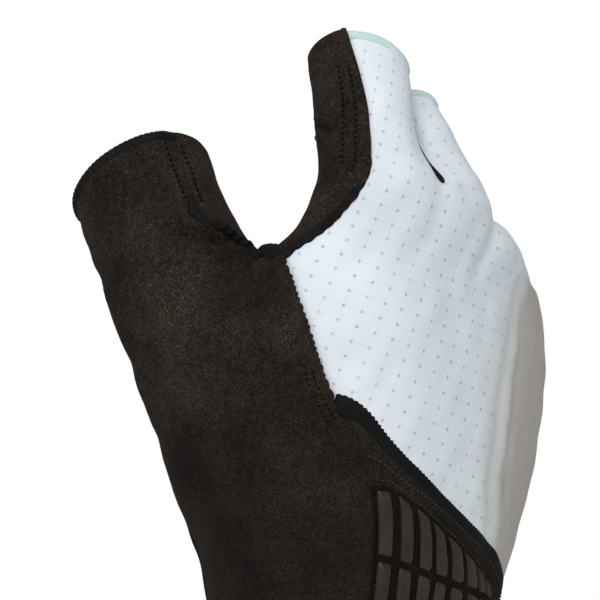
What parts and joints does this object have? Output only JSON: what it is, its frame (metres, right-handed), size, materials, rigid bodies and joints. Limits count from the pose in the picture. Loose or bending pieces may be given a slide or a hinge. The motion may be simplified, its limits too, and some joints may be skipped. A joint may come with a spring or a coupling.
{
  "type": "fingerless cycling glove",
  "caption": "Right-hand fingerless glove held in its worn form, with a perforated pale back, a suede palm and thumb, bound finger openings and a ribbed wrist panel.",
  "frame": {"origin": "centre of the cuff's lower edge, where the hand goes in", "axes": "+Z from the cuff toward the fingertips, +Y out of the palm, -Y out of the back of the hand, -X toward the thumb's side"},
  "size_m": [0.0922, 0.0797, 0.1384],
  "materials": {
    "pale_mesh_fabric": "smooth pale blue-white knit with rows of small perforations",
    "brown_suede": "dark brown mottled suede with a short nap",
    "ribbed_rubber": "satin moulded bars on dark brown fabric",
    "dark_binding": "near-black corded or overlocked edging",
    "mint_binding": "pale mint woven edging"
  },
  "bodies": {
    "root": {"back_panel": "pale_mesh_fabric", "thumb_panel": "brown_suede", "thumb_inner_panel": "brown_suede", "index_side_panel": "brown_suede", "palm_panel": "brown_suede", "index_middle_gusset": "brown_suede", "middle_ring_gusset": "brown_suede", "ring_little_gusset": "brown_suede", "wrist_strip": "brown_suede", "rib_panel": "ribbed_rubber", "cuff_band": "dark_binding", "crotch_binding": "dark_binding", "wrist_binding": "dark_binding", "thumb_hem": "dark_binding", "index_tip_binding": "mint_binding", "middle_tip_binding": "mint_binding", "ring_tip_binding": "mint_binding", "little_tip_binding": "mint_binding"}
  },
  "joints": []
}
